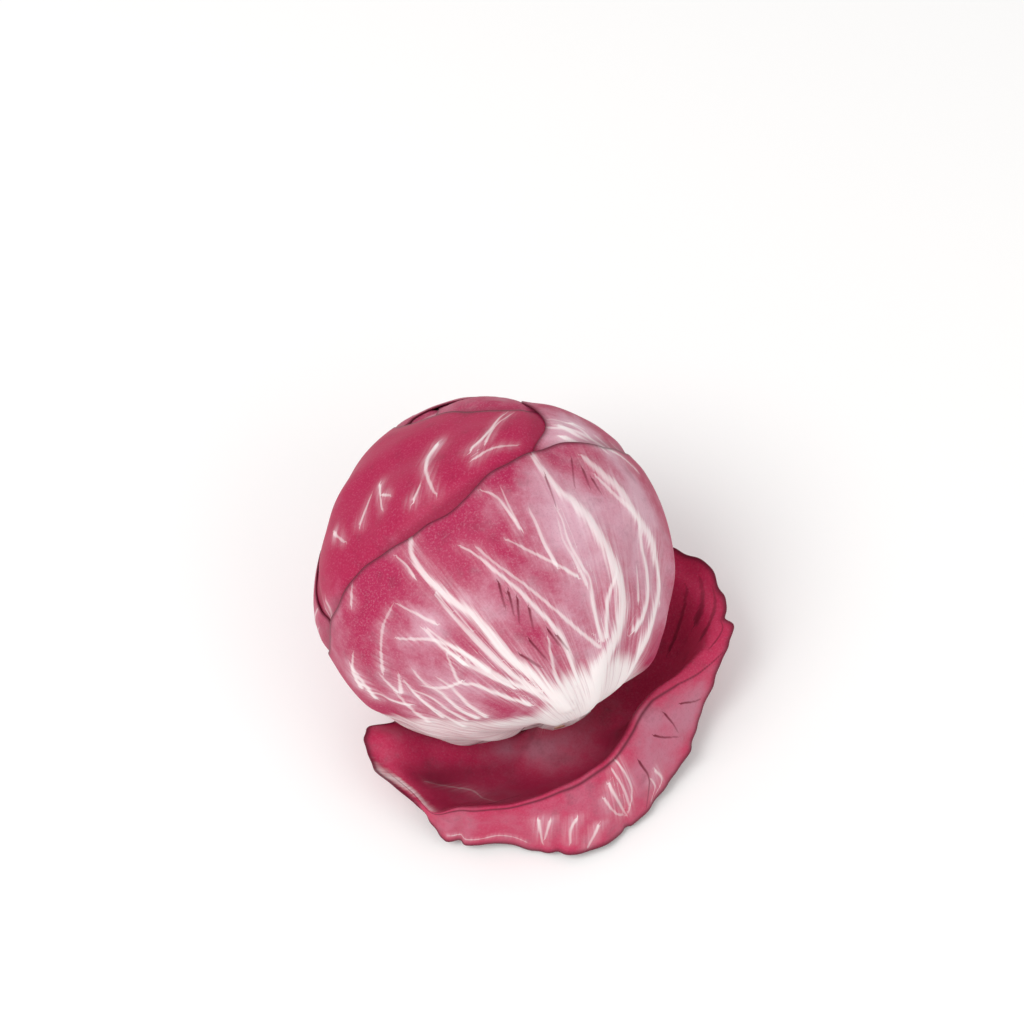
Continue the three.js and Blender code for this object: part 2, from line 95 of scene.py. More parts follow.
# Veins of the front leaf in its own plane, x across and y from its base: half width at each end, strength and
# the points that they run through
FRONT_VEINS = [
    (4.2, 0.9, 1.0, [(2, 20), (3.5, 28), (5.7, 35), (10, 39.7), (18.6, 44.5), (23.2, 51.6), (25.1, 60),
        (26.2, 67.6), (26.7, 76.8), (25.7, 83.6), (24.2, 89.6), (24.2, 97), (25.4, 101)]),
    (2.5, 1.0, 1.0, [(-4, 30), (-8.1, 45), (-13, 56.6), (-16.4, 70), (-21.5, 79.5), (-25.2, 88.3),
        (-26, 95), (-24.2, 101)]),
    (1.7, 0.45, 0.9, [(-5, 30), (-10, 39.6), (-15.9, 46.2), (-20.4, 53.4), (-25, 61.7), (-28.8, 67),
        (-31.6, 71.6)]),
    (2.3, 1.3, 0.9, [(14, 20), (24.4, 31.8), (33, 37.2), (41.3, 42.6), (44.9, 55.5), (42.8, 67.5),
        (42.6, 76.3), (41.2, 83), (39.9, 90)]),
    (1.5, 0.45, 0.8, [(24.2, 39.3), (33.1, 44), (39.6, 54), (42.8, 64.7), (40.4, 74.9), (38.8, 84)]),
    (0.77, 0.38, 0.7, [(37.6, 35.8), (41.8, 43.9), (45.4, 51.9)]),
    (0.67, 0.38, 0.6, [(29.3, 46.1), (34.6, 53.9)]),
    (1.06, 0.38, 0.8, [(14, 46), (19.9, 55.9), (25.1, 60), (27, 63)]),
    (1.49, 0.53, 0.85, [(-9.5, 41), (-14, 48.2), (-19, 62), (-22.3, 72.6), (-24.7, 80.7)]),
    (1.25, 0.53, 0.8, [(-20.4, 53.4), (-23.6, 59.7), (-31, 67.6), (-42.2, 70.5)]),
    (1.12, 0.53, 0.8, [(-14, 36), (-20.6, 43.2), (-25.6, 49.2), (-30, 51.6), (-29.9, 57.7), (-29.6, 62.5)]),
    (0.87, 0.53, 0.7, [(-30, 51.6), (-36, 50.4), (-42, 51.7)]),
    (1.06, 0.38, 0.75, [(1, 38), (2.4, 53.7), (0.3, 63.8), (-2.4, 73), (-5.6, 81), (-8.4, 87.4),
        (-10.7, 90.5)]),
    (0.72, 0.38, 0.6, [(10.7, 44.8), (7.2, 53.9), (3.4, 64.6), (0.1, 72.9), (-4, 81.4), (-6.3, 87.6)]),
    (0.86, 0.38, 0.75, [(12.5, 46), (13.5, 52), (15.6, 59), (17.2, 64.7), (16.9, 69), (17.6, 76.2),
        (19.5, 81.6), (20.1, 85.2)]),
    (0.62, 0.38, 0.55, [(15.5, 63.2), (16, 70.5), (16.4, 77), (18, 81.5)]),
    (0.72, 0.38, 0.65, [(14, 66.9), (10.7, 72.9), (6.5, 79.2), (2.4, 85.4)]),
    (0.67, 0.38, 0.6, [(10.7, 72.9), (10.7, 79.2), (12, 84.9), (12.5, 88.5)]),
    (0.67, 0.38, 0.6, [(7.2, 86.4), (6.8, 91.8), (6.5, 97.3), (4, 101)]),
    (0.62, 0.38, 0.5, [(7.5, 88.8), (8.2, 93.6), (9.2, 97.9)]),
    (0.96, 0.38, 0.75, [(-2, 34), (-3.6, 42.3), (-2.8, 49.3), (-1, 55.9)]),
    (1.25, 0.53, 0.8, [(-31, 34), (-34.7, 39.6), (-37.2, 47.8), (-41.3, 53.4), (-42.4, 58.3)]),
    (1.12, 0.53, 0.75, [(-35, 33), (-38.2, 38.7), (-41.8, 46.2), (-47.3, 49.6)]),
    (1.12, 0.53, 0.75, [(-28, 34), (-31, 41), (-32.9, 49), (-35.6, 54.4)]),
    (0.62, 0.38, 0.5, [(-53, 58.9), (-49.5, 68), (-45.4, 75.7), (-40, 81.3)]),
    (0.62, 0.38, 0.5, [(-53.7, 84), (-51.6, 90.4)]),
    (1.12, 0.53, 0.8, [(-63.8, 51.6), (-63.6, 59), (-60.3, 66.2)]),
    (0.87, 0.53, 0.7, [(-51.3, 49), (-48.9, 56.7)]), (0.72, 0.38, 0.6, [(-29, 73), (-33, 77), (-37.8, 81.4)]),
    (0.67, 0.38, 0.6, [(-28.6, 88.3), (-29.6, 92.4), (-31.7, 95.8)]),
    (1.1, 0.6, 0.8, [(47.6, 95.5), (49.5, 90.1), (50.8, 85.3)]),
    (1.0, 0.5, 0.7, [(51.7, 88.1), (58.2, 79.8), (60.8, 71.3)]),
    (1.1, 0.4, 0.95, [(-25.8, 58.2), (-29.7, 64.9), (-33, 72.1)]),
    (0.7, 1.1, 0.9, [(-15.8, 44), (-20.6, 51), (-25.8, 58.2)]),
    (1.0, 0.6, 0.8, [(-61.4, 46), (-62.3, 54.9), (-63.5, 62.1)]),
    (0.8, 0.5, 0.7, [(-50.9, 42.7), (-56.6, 46.3), (-62.8, 50)]),
    (1.0, 0.6, 0.8, [(-42.2, 35.1), (-46.5, 46), (-48.3, 54.2)]),
    (1.0, 0.5, 0.8, [(-37.1, 28.2), (-43.1, 39.6), (-47.5, 48.4)]),
    (0.9, 0.5, 0.7, [(-48, 32.4), (-51, 40.2), (-53, 49.4)]), (0.6, 0.5, 0.7, [(-52.3, 49.2), (-54.3, 57.5)]),
]

# Short marks on the crimson leaf behind it, in that leaf's plane
CRIMSON_MARKS = [
    (0.68, 0.39, 0.6, [(-5.3, 109.5), (-3.7, 119)]), (0.73, 0.39, 0.7, [(-0.5, 122), (3.7, 112.4)]),
    (0.68, 0.39, 0.65, [(2.7, 117.6), (6.2, 116.5)]),
    (1.14, 0.59, 0.8, [(20.2, 132.4), (18.9, 126.5), (20.3, 120.2), (23.9, 112.3)]),
    (0.83, 0.39, 0.7, [(16.7, 112), (18.5, 116.1)]),
    (0.94, 0.39, 0.7, [(35.6, 124.4), (40, 129.8), (42.5, 137.2), (44.4, 140.5)]),
    (0.73, 0.39, 0.6, [(39.9, 125.8), (42.1, 132.7), (46.2, 138.9)]),
    (0.83, 0.39, 0.55, [(37.3, 120), (42.1, 122.1), (49.7, 121.9)]),
    (0.68, 0.39, 0.6, [(-15.4, 107.7), (-10.6, 104.6)]),
]

# Pale marks near the edge of the leaf behind its right side, in that leaf's plane
TIP_MARKS = [
    (1.1, 0.6, 0.85, [(-30, 102.3), (-30.2, 97.6), (-29.2, 94)]),
    (1.2, 0.6, 0.85, [(-33.5, 99.4), (-32.7, 94.9), (-31.8, 91.4)]),
    (0.8, 0.5, 0.8, [(-26.1, 99.9), (-25.3, 96.4)]),
]

# Short dark streaks, where the sap colour is deepest beside a vein of the front leaf
FRONT_STREAKS = [
    (0.55, 0.43, 1, [(-6.2, 76), (-7.6, 70)]), (0.55, 0.43, 1, [(-3.6, 70), (-6, 64.5)]),
    (0.5, 0.43, 1, [(0, 58), (0.8, 52.5)]), (0.5, 0.43, 1, [(-5.8, 58), (-4.2, 51)]),
    (0.5, 0.43, 0.9, [(-9.5, 55), (-6.5, 49.5)]), (0.5, 0.38, 0.7, [(35.7, 92.5), (30.1, 86.6)]),
    (0.55, 0.38, 0.8, [(36.5, 87.9), (34.5, 83.5)]), (0.55, 0.38, 0.8, [(37.1, 84), (36.5, 80.2)]),
    (0.5, 0.38, 0.7, [(23.4, 93.9), (20.5, 85.8)]), (0.5, 0.43, 1, [(-4.8, 73), (-6.4, 67)]),
    (0.5, 0.43, 0.9, [(-2, 66), (-3.4, 61)]), (0.45, 0.38, 0.8, [(1.5, 55), (2.4, 50)]),
]

# The opened leaf's own plane: x runs round its rays and y out along them. Its veins, its dark streaks, the fold
# where the brim turns over, and its washes
OPENED_VEINS = [
    (0.6, 0.3, 0.65, [(82.6, 88.7), (84.1, 104)]), (0.5, 0.3, 0.6, [(85.3, 90), (84.5, 101)]),
    (0.6, 0.3, 0.65, [(91.4, 91.6), (90.2, 96.4), (90.2, 103.7)]),
    (0.6, 0.3, 0.65, [(96.3, 98.6), (95.2, 102.6), (93.7, 107.8)]),
    (0.5, 0.3, 0.6, [(104.7, 77.3), (105.9, 86), (105.9, 93.8), (103.2, 103.7)]),
    (0.5, 0.3, 0.6, [(100.5, 84.2), (102, 95.3), (103.2, 103.7)]),
    (0.4, 0.3, 0.5, [(102.6, 80), (103.9, 90), (104.2, 99)]),
    (0.4, 0.3, 0.5, [(98.6, 88), (100.4, 97), (103, 104)]),
    (0.5, 0.3, 0.55, [(114.6, 96.8), (115.4, 104), (112, 107.8)]),
    (0.4, 0.3, 0.5, [(112.4, 98), (112.8, 104), (110.4, 108)]),
    (0.5, 0.4, 0.5, [(62.8, 103.4), (68.9, 104.1), (73.9, 102.3), (80, 104.5)]),
    (0.4, 0.35, 0.5, [(40, 66.3), (49.5, 50.5), (66.6, 54.9)]),
]
OPENED_STREAKS = [
    (0.55, 0.38, 1, [(129.8, 86), (127.6, 96.8)]), (0.5, 0.38, 1, [(121.5, 86.8), (126, 98.2)]),
    (0.5, 0.38, 1, [(135.2, 90.9), (139.7, 104)]),
    (0.55, 0.38, 1, [(111.6, 86.8), (111.9, 97.5), (108.5, 107)]), (1.8, 1.0, 0.8, [(171.3, 69), (179, 93.4)]),
    (1.6, 1.0, 0.8, [(163.7, 70), (174.8, 99.3)]), (1.0, 0.7, 0.8, [(173.2, 55), (181, 76)]),
    (1.0, 0.7, 0.8, [(156, 84), (168, 103)]),
    (0.7, 0.58, 1, [(53.3, 75.4), (64, 69.5), (66.6, 55.9), (70.8, 47.5)]),
]
OPENED_FOLD = [
    (0, 125), (28, 100), (46, 85), (53, 79.5), (64, 77), (98, 76.5), (107, 76.5), (120, 76), (132, 77.5),
    (141, 82.5), (147, 92), (152, 104), (157, 114), (190, 130),
]
# Five of these are painted light: the four at y 19 to 34, along the foot of the head, are a painted reflection
# of its white base, and the one at x 20 lightens the lobe where the head shades it.
OPENED_WASHES_AND_PAINTED_LIGHT = [
    (123, 88, 13, 12, 1.1), (138, 101, 10, 9, 1.0), (100, 96, 30, 14, 0.35), (68, 92, 16, 12, 0.15),
    (165, 80, 25, 40, -0.6), (20, 88, 18, 30, 0.2), (30, 34, 14, 8, 0.7), (60, 21, 22, 6, 0.6),
    (105, 19, 40, 6, 0.5), (112, 27, 14, 5, 0.35), (80, 86, 16, 7, 0.2),
]

# Ribs of a plain leaf: degrees from the midrib at the base and at the edge, bow in degrees, strength
PLAIN_RIBS = [(-48, -52, 0, 0.6), (-28, -36, 0, 0.8), (-10, -17, 0, 0.8), (0, 0, 3, 1.2), (12, 18, 0, 0.8),
              (29, 37, 0, 0.8), (50, 53, 0, 0.6)]

# How far the white base runs up a leaf: degrees from the midrib, and millimetres from the base
FRONT_WHITE = [
    (-80, 104), (-66, 80), (-50, 51), (-44, 42), (-38, 37), (-34, 34), (-28, 31), (-15, 35), (-4, 42), (10, 41),
    (23, 39), (40, 33), (55, 29), (73, 29),
]
PLAIN_WHITE = [(-66, 62), (-55, 40), (-25, 31), (0, 38), (25, 31), (55, 40), (66, 62)]

# Lilac washes of a leaf in its own plane: x, y, radius across, radius along, strength. Below 0 it is deeper
# crimson
FRONT_WASHES = [
    (19, 80, 11, 19, 1.0), (35, 60, 8, 24, 0.85), (-9, 70, 9, 9, 0.45), (-38, 62, 15, 15, 0.45),
    (6, 56, 10, 9, 0.45), (-28, 72, 7, 7, 0.5), (50, 66, 7, 28, 0.9), (-36, 44, 16, 9, 0.35),
    (-24, 62, 8, 8, -0.35), (-15, 92, 14, 12, -0.45), (-44, 92, 16, 14, -0.3),
]
TIP_WASHES = [(-32, 94, 12, 16, 1.0), (20, 60, 16, 20, 0.5), (-10, 50, 10, 20, 0.4)]
CRIMSON_WASHES = [(-20, 60, 12, 18, 0.3), (10, 118, 40, 30, -0.6)]
PLAIN_WASHES = [(12, 70, 12, 26, 0.5), (-30, 48, 12, 18, 0.4), (38, 50, 12, 18, 0.45)]


# Small number helpers
def smoothstep(value, low, high):
    t = np.clip((value - low) / (high - low), 0, 1)
    return t * t * (3 - 2 * t)


def mix(a, b, share):
    return a + (b - a) * share


def unit(vectors):
    return vectors / np.linalg.norm(vectors, axis=-1, keepdims=True)


def ripples(points, wavelength, seed):
    """Smooth, irregular waves between about -1 and 1, of roughly this wavelength, at points in millimetres."""
    rng = np.random.default_rng(seed)
    total = np.zeros(points.shape[:-1])
    for _ in range(7):
        course = unit(rng.normal(size=3)) * rng.uniform(0.7, 1.5) * 2 * math.pi / wavelength
        total += np.sin(points @ course + rng.uniform(0, 2 * math.pi))
    return total / 3.5


def smooth_path(points, per_part=7):
    """A rounded path through the given points."""
    points = np.asarray(points, float)
    ends = np.vstack([2 * points[0] - points[1], points, 2 * points[-1] - points[-2]])
    parts = []
    for a, b, c, d in zip(ends, ends[1:], ends[2:], ends[3:]):
        t = np.linspace(0, 1, per_part, endpoint=False)[:, None]
        square, cube = 2 * a - 5 * b + 4 * c - d, 3 * b - a - 3 * c + d
        parts.append(0.5 * (2 * b + (c - a) * t + square * t**2 + cube * t**3))
    return np.vstack(parts + [points[-1:]])


# The head's own axes: the stem axis points out of the butt
CENTRE = np.array([0, 0, REST_HEIGHT])
heading, dip = math.radians(STEM_HEADING), math.radians(STEM_DIP)
STEM_AXIS = np.array([math.cos(dip) * math.cos(heading), math.cos(dip) * math.sin(heading), -math.sin(dip)])
TOP_SIDE = unit(np.array([0, 0, 1]) - STEM_AXIS[2] * STEM_AXIS)
FLANK_SIDE = np.cross(TOP_SIDE, STEM_AXIS)


def leaf_form(azimuth, length, spread, waves, phase, shoulder=0.38, white=PLAIN_WHITE, washes=PLAIN_WASHES):
    """A leaf's outline, its markings and its place on the head."""
    polar = math.radians(BASE_ANGLE) + length / 2 / MAP_RADIUS
    turn = math.radians(azimuth)
    outward = math.cos(turn) * TOP_SIDE + math.sin(turn) * FLANK_SIDE
    return {
        "length": length, "spread": math.radians(spread), "shoulder": shoulder, "waves": waves, "phase": phase,
        "white": white, "washes": washes,
        "middle": math.cos(polar) * STEM_AXIS + math.sin(polar) * outward,
        "along": -math.sin(polar) * STEM_AXIS + math.cos(polar) * outward,
        "across": -math.sin(turn) * TOP_SIDE + math.cos(turn) * FLANK_SIDE,
    }


# Azimuth round the stem axis in degrees, length, half spread in degrees, waves of the edge and their phase.
# Wrapper leaves from the outermost inwards, then the inner leaves closed into the heart
WRAPPERS = [
    leaf_form(-12, 104, 82, 4, 5.6, shoulder=0.2, white=FRONT_WHITE, washes=FRONT_WASHES),
    leaf_form(-170, 118, 58, 8, 2.3),
    leaf_form(78, 113, 64, 7, 4.1, washes=TIP_WASHES),
    leaf_form(-62, 150, 62, 8, 5.2, washes=CRIMSON_WASHES),
    leaf_form(158, 138, 62, 9, 0.4),
    leaf_form(22, 146, 62, 8, 3.6),
]
HEART_LEAVES = [
    leaf_form(-98, 158, 50, 6, 2.0),
    leaf_form(124, 150, 52, 7, 0.9),
    leaf_form(-14, 152, 50, 6, 5.5),
]


def direction_of(leaf, x, y):
    """A point of the flat leaf as a direction from the head's centre."""
    forward = y - leaf["length"] / 2
    distance = np.maximum(np.hypot(x, forward), 1e-6)
    angle = distance / MAP_RADIUS
    side = (x / distance)[..., None] * leaf["across"] + (forward / distance)[..., None] * leaf["along"]
    return np.cos(angle)[..., None] * leaf["middle"] + np.sin(angle)[..., None] * side


def flat_place(leaf, directions):
    """The same the other way round: x across and y from the leaf's base."""
    angle = np.arccos(np.clip(directions @ leaf["middle"], -1, 1))
    a, b = directions @ leaf["across"], directions @ leaf["along"]
    scale = angle * MAP_RADIUS / np.maximum(np.hypot(a, b), 1e-9)
    return a * scale, b * scale + leaf["length"] / 2


def reach(leaf, angle):
    """How far the leaf runs from its base, at an angle from its midrib."""
    share = np.abs(angle) / leaf["spread"]
    cut = np.where(share < 1, leaf["shoulder"] * share**4, leaf["shoulder"] + 1.2 * (share - 1))
    return leaf["length"] * np.maximum(1 - cut, 0)


def wave_of(leaf, angle):
    """The wave along the leaf's edge, from -1 to 1."""
    return np.sin(leaf["waves"] * math.pi * angle / leaf["spread"] + leaf["phase"])


def cover(leaf, directions, margin=DRAPE_MARGIN, fade=DRAPE_FADE):
    """1 where the leaf lies, fading to 0 past its edge."""
    x, y = flat_place(leaf, directions)
    angle, distance = np.arctan2(x, y), np.hypot(x, y)
    inward = np.maximum(np.abs(angle) - margin / np.maximum(distance, max(margin, 1)), 0)
    return 1 - smoothstep(distance - reach(leaf, inward) - margin, 0, fade)


def thickness_at(leaf, directions):
    """The blade's thickness, which grows towards the stalk."""
    x, y = flat_place(leaf, directions)
    angle, distance = np.arctan2(x, y), np.hypot(x, y)
    stalk = np.exp(-((distance / STALK_FADE) ** 2)) * np.cos(np.minimum(np.abs(angle), 1.4)) ** 2
    return mix(BLADE, STALK_THICKNESS, stalk)


def heart_radius(directions):
    from_stem = np.arccos(np.clip(directions @ STEM_AXIS, -1, 1))
    taper = BUTT_TAPER * (1 - smoothstep(from_stem, 0, math.radians(BUTT_TAPER_ANGLE)))
    x, y, z = np.moveaxis(directions, -1, 0)
    bumps = np.sin(3.1 * x + 1.3) * np.cos(2.7 * y - 0.4) + np.sin(4.2 * z + 2.0 * x)
    return HEART_RADIUS - taper + HEART_BUMP * bumps


def heart_surface(directions):
    return heart_radius(directions) + sum(HEART_LEAF_STEP * cover(leaf, directions) for leaf in HEART_LEAVES)


def outline_radius(directions):
    """The head's outermost surface: the heart and every leaf that lies over it."""
    from_stem = np.arccos(np.clip(directions @ STEM_AXIS, -1, 1))
    near_stem = 1 - smoothstep(from_stem, math.radians(30), math.radians(70))
    layers = np.zeros(directions.shape[:-1])
    for leaf in WRAPPERS:
        draped = mix(cover(leaf, directions, FLANK_MARGIN), cover(leaf, directions), near_stem)
        layers += (thickness_at(leaf, directions) + LEAF_GAP) * draped
    return heart_surface(directions) + layers


def depth_of(k, directions):
    """How far under the outermost surface leaf number k lies."""
    depth = np.zeros(directions.shape[:-1])
    for leaf in WRAPPERS[:k]:
        layer = BLADE_SHARE * thickness_at(leaf, directions) + CLOSE_GAP
        depth += layer * cover(leaf, directions, CLOSE_MARGIN, CLOSE_FADE)
    return depth


def hidden_by(k, directions, margin, fade):
    """1 where a leaf that lies further out covers leaf number k."""
    hidden = np.zeros(directions.shape[:-1])
    for leaf in WRAPPERS[:k]:
        hidden = np.maximum(hidden, cover(leaf, directions, margin, fade))
    return hidden


def table_limit(directions, depth):
    """Radius at which the table stops a point that has this much leaf under it."""
    return np.where(directions[..., 2] < 0, (REST_HEIGHT - depth) / np.maximum(-directions[..., 2], 1e-6), FAR)


# Veins and washes of a leaf, read at points of its own plane
def plain_veins(leaf, seed, rib_end=0.97):
    """Ribs that fan out from the base, with branches that fork off them towards the margin."""
    rng = np.random.default_rng(seed)
    veins = []
    for base, edge, bow, strength in PLAIN_RIBS:
        t = np.linspace(0.06, rib_end, 9)
        angle = np.radians(mix(base, edge, t) + bow * np.sin(math.pi * t) + rng.normal(0, 0.7, 9))
        distance = reach(leaf, angle) * t
        path = smooth_path(np.stack([distance * np.sin(angle), distance * np.cos(angle)], -1))
        veins.append((2.0 * strength, 0.6, 0.75 + 0.2 * strength, path))
        for start in np.arange(0.28, 0.9, 0.12) + rng.uniform(-0.03, 0.03, 6):
            n = int(start * (len(path) - 1))
            course = unit(path[min(n + 2, len(path) - 1)] - path[n - 2])
            side = rng.choice([-1, 1])
            turn = side * rng.uniform(0.45, 0.75)
            span = rng.uniform(10, 22) * (1.1 - 0.5 * start)
            points = [path[n]]
            for step in range(4):
                heading = turn * (1 - 0.18 * step) + rng.normal(0, 0.07)
                c, s = math.cos(heading), math.sin(heading)
                ahead = np.array([c * course[0] - s * course[1], s * course[0] + c * course[1]])
                points.append(points[-1] + ahead * span / 4)
            veins.append((0.8 * strength, 0.55, 0.55, smooth_path(points, 4)))
    return veins


def drawn_veins(table):
    return [(start, end, strength, smooth_path(path)) for start, end, strength, path in table]


def sort_apart(veins):
    """Shares the veins out over two sets, so that those of one set run well apart."""
    sets = [[], []]
    for vein in veins:
        room = [min((np.linalg.norm(vein[3][:, None] - other[3], axis=-1).min() for other in held), default=FAR)
                for held in sets]
        sets[int(room[1] > room[0])].append(vein)
    return sets


def nearest_on_path(points, path):
    """For each point its distance to the path, how far along the path that is, and on which side."""
    closest, here, side = np.full(len(points), FAR), np.zeros(len(points)), np.ones(len(points))
    for n, (a, b) in enumerate(zip(path, path[1:])):
        span = b - a
        t = np.clip((points - a) @ span / max(span @ span, 1e-9), 0, 1)
        offset = points - a - t[:, None] * span
        away = np.linalg.norm(offset, axis=1)
        here = np.where(away < closest, (n + t) / (len(path) - 1), here)
        side = np.where(away < closest, np.sign(span[0] * offset[:, 1] - span[1] * offset[:, 0]), side)
        closest = np.minimum(closest, away)
    return closest, here, side


def vein_fields(x, y, veins, kind=""):
    """For both sets of veins the distance to the nearest one in its half widths, negative on its right side, and
    its strength, as named fields; then the pale veil beside all veins, and how high they stand, from 0 to 1."""
    fields = {}
    veil, lift = np.zeros(x.shape), np.zeros(x.shape)
    for name, held in zip(("", "other "), sort_apart(veins)):
        gap, strong = 9 + np.zeros(x.shape), np.zeros(x.shape)
        first, second = 99 + np.zeros(x.shape), 99 + np.zeros(x.shape)
        for start, end, strength, path in held:
            reach_out = 4 * max(start, end) + 3
            low, high = path.min(0) - reach_out, path.max(0) + reach_out
            near = np.nonzero((x > low[0]) & (x < high[0]) & (y > low[1]) & (y < high[1]))
            closest, here, side = nearest_on_path(np.stack([x[near], y[near]], -1), path)
            width = mix(start, end, here)
            fade = strength * mix(1, 0.5, here)
            share = closest / width
            nearer = share < np.abs(gap[near])
            second[near] = np.where(nearer, first[near], np.minimum(second[near], closest))
            first[near] = np.where(nearer, closest, first[near])
            gap[near] = np.where(nearer, side * share, gap[near])
            shown = fade * (1 - smoothstep(closest, width + 0.6, 1.6 * width + 1.2))
            strong[near] = np.where(nearer, shown, strong[near])
            veil[near] = np.maximum(veil[near], fade * np.exp(-((closest / (2.2 * width + 1)) ** 2)))
            height = np.exp(-((closest / (1.2 * width + 0.3)) ** 2)) * np.minimum(width / 1.9, 1.2)
            lift[near] = np.maximum(lift[near], fade * height)
        # The sign turns half-way between two veins, where the strength has to be 0 or a line would show there
        strong *= np.maximum(smoothstep(second - first, 0.2, 1.1), 1 - smoothstep(np.abs(gap), 0.7, 1.1))
        fields[kind + name + "gap"], fields[kind + name + "strong"] = gap, strong
    return fields, veil, lift


def wash_field(x, y, washes):
    """Lilac above 0 and deeper crimson below it, summed up from soft oval patches."""
    total = np.zeros(x.shape)
    for across, along, wide, tall, strength in washes:
        total += strength * np.exp(-(((x - across) / wide) ** 2) - ((y - along) / tall) ** 2)
    return np.clip(total, -1, 1)


def white_field(angle, distance, table):
    """The white base fades out over about a centimetre, and is thinner towards the sides."""
    degrees = np.degrees(angle)
    limit = np.interp(degrees, *zip(*table))
    return smoothstep(limit - distance, -7, 6) * mix(1, 0.66, smoothstep(np.abs(degrees), 34, 50))


# One helper adds a node to a material or a geometry tree, with its settings and what feeds it: a value,
# a socket, or a node, which gives its first output
def add(tree, kind, feeds=None, **settings):
    made = tree.nodes.new(kind)
    for name, value in settings.items():
        setattr(made, name, value)
    for socket, value in (feeds or {}).items():
        target = made.inputs[socket]
        if isinstance(value, bpy.types.Node):
            value = next(output for output in value.outputs if output.enabled)
        if isinstance(value, bpy.types.NodeSocket):
            tree.links.new(value, target)
        else:
            target.default_value = value
    return made


def blade_tree():
    """Turns a leaf's outer face into a leaf: raises its ribs, then gives it a blade's thickness."""
    tree = bpy.data.node_groups.new("leaf blade", "GeometryNodeTree")
    inputs = (("Face", "Geometry"), ("Rib height", "Float"), ("Blade thickness", "Float"), ("Skin", "Material"))
    for name, kind in inputs:
        tree.interface.new_socket(name, in_out="INPUT", socket_type="NodeSocket" + kind)
    tree.interface.new_socket("Leaf", in_out="OUTPUT", socket_type="NodeSocketGeometry")
    given = add(tree, "NodeGroupInput").outputs
    normal = add(tree, "GeometryNodeInputNormal").outputs["Normal"]
    lift = add(tree, "GeometryNodeInputNamedAttribute", {"Name": "lift"}, data_type="FLOAT")
    height = add(tree, "ShaderNodeMath", {0: lift, 1: given["Rib height"]}, operation="MULTIPLY")
    raise_by = add(tree, "ShaderNodeVectorMath", {0: normal, "Scale": height}, operation="SCALE")
    ribbed = add(tree, "GeometryNodeSetPosition", {"Geometry": given["Face"], "Offset": raise_by})
    kept = add(tree, "GeometryNodeCaptureAttribute", {"Geometry": ribbed})
    kept.capture_items.new("VECTOR", "Outward")
    tree.links.new(normal, kept.inputs["Outward"])
    outer = kept.outputs["Geometry"]
    in_place = {"Mesh": outer, "Offset Scale": 0.0, "Individual": False}
    grown = add(tree, "GeometryNodeExtrudeMesh", in_place, mode="FACES")
    share = add(tree, "GeometryNodeInputNamedAttribute", {"Name": "blade"}, data_type="FLOAT")
    thickness = add(tree, "ShaderNodeMath", {0: share, 1: given["Blade thickness"]}, operation="MULTIPLY")
    inward = add(tree, "ShaderNodeMath", {0: thickness, 1: -1.0}, operation="MULTIPLY")
    sink = add(tree, "ShaderNodeVectorMath", {0: kept.outputs["Outward"], "Scale": inward}, operation="SCALE")
    sunk = {"Geometry": grown.outputs["Mesh"], "Selection": grown.outputs["Top"], "Offset": sink}
    lower = add(tree, "GeometryNodeSetPosition", sunk)
    turned = add(tree, "GeometryNodeFlipFaces", {"Mesh": lower})
    both = add(tree, "GeometryNodeJoinGeometry", {0: turned})
    tree.links.new(outer, both.inputs[0])
    whole = add(tree, "GeometryNodeMergeByDistance", {"Geometry": both, "Distance": 0.002 * MM})
    smooth = add(tree, "GeometryNodeSetShadeSmooth", {"Geometry": whole})
    plain = add(tree, "GeometryNodeRealizeInstances", {"Geometry": smooth})
    skinned = add(tree, "GeometryNodeSetMaterial", {"Geometry": plain, "Material": given["Skin"]})
    add(tree, "NodeGroupOutput", {"Leaf": skinned})
    return tree


BLADE_TREE = blade_tree()


def new_object(name, data):
    made = bpy.data.objects.new(name, data)
    bpy.context.scene.collection.objects.link(made)
    return made


def mark_mesh(mesh, fields, fan):
    """Puts the attributes and the fan UV map on a mesh, one value for each of its points."""
    for field, values in fields.items():
        mesh.attributes.new(field, "FLOAT", "POINT").data.foreach_set("value", values.ravel())
    corners = np.empty(len(mesh.loops), np.int32)
    mesh.loops.foreach_get("vertex_index", corners)
    mesh.uv_layers.new(name="fan").data.foreach_set("uv", fan.reshape(-1, 2)[corners].ravel())


def sheet_object(name, points, fields, fan):
    """A grid of points in millimetres as a mesh that faces outwards."""
    rows, columns = points.shape[:2]
    place = np.arange(rows * columns).reshape(rows, columns)
    faces = np.stack([place[:-1, :-1], place[:-1, 1:], place[1:, 1:], place[1:, :-1]], -1).reshape(-1, 4)
    mesh = bpy.data.meshes.new(name)
    mesh.from_pydata((points.reshape(-1, 3) * MM).tolist(), [], faces.tolist())
    mark_mesh(mesh, fields, fan)
    return new_object(name, mesh)


def grow_blade(piece, skin, rib_height, thickness):
    """Runs the leaf blade tree on a sheet and keeps the result as a plain mesh."""
    sockets = {item.name: item.identifier for item in BLADE_TREE.interface.items_tree if item.in_out == "INPUT"}
    growth = piece.modifiers.new("leaf blade", "NODES")
    growth.node_group = BLADE_TREE
    growth[sockets["Rib height"]] = rib_height * MM
    growth[sockets["Blade thickness"]] = thickness * MM
    growth[sockets["Skin"]] = skin
    graph = bpy.context.evaluated_depsgraph_get()
    grown = bpy.data.meshes.new_from_object(piece.evaluated_get(graph), depsgraph=graph)
    piece.modifiers.clear()
    piece.data = grown
    grown.name = piece.name
    points = np.empty(len(grown.vertices) * 3)
    grown.vertices.foreach_get("co", points)
    points = points.reshape(-1, 3)
    points[:, 2] = np.maximum(points[:, 2], 0)
    grown.vertices.foreach_set("co", points.ravel())
    grown.update()


def finish_piece(piece, node):
    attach(piece, "root")
    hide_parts(node)


